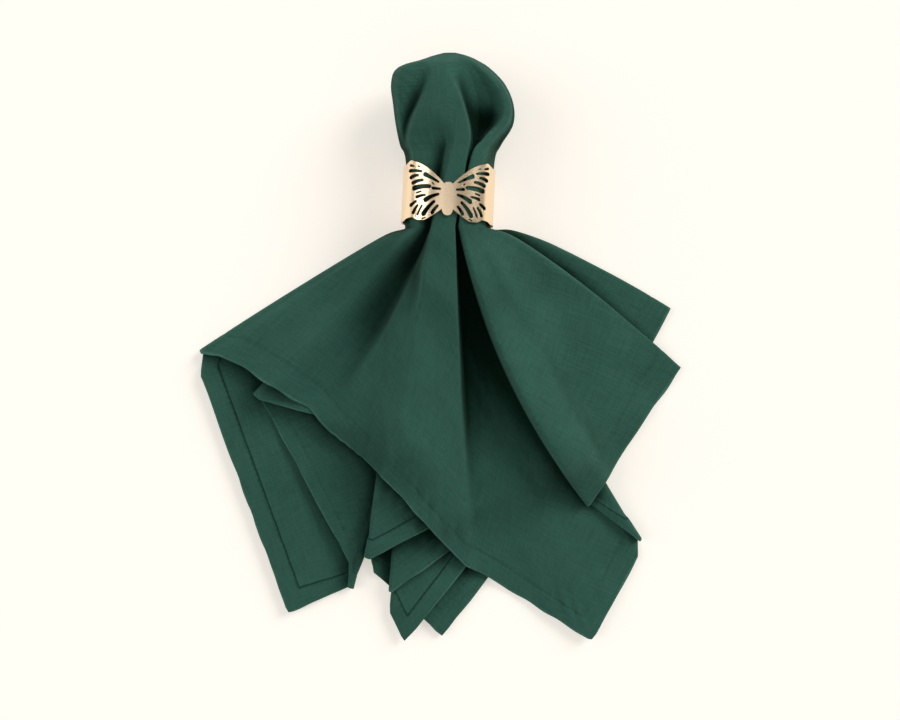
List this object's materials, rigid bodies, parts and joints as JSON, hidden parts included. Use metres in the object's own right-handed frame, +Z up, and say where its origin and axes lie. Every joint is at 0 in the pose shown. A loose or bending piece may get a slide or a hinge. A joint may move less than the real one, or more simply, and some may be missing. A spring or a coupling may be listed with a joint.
{
  "type": "cloth napkin in a ring",
  "caption": "Square cloth napkin drawn through a flat napkin ring with a cut-out butterfly front, lying fanned out on a table.",
  "frame": {"origin": "on the table, under the middle of the whole object", "axes": "+Z up from the table, +Y from the spread corners towards the puff above the ring, +X across the napkin to the right as seen from above"},
  "size_m": [0.2412, 0.29, 0.0419],
  "materials": {
    "cloth": "matte plain weave",
    "metal": "polished rose gold"
  },
  "bodies": {
    "root": {"napkin": "cloth", "ring": "metal"}
  },
  "joints": []
}
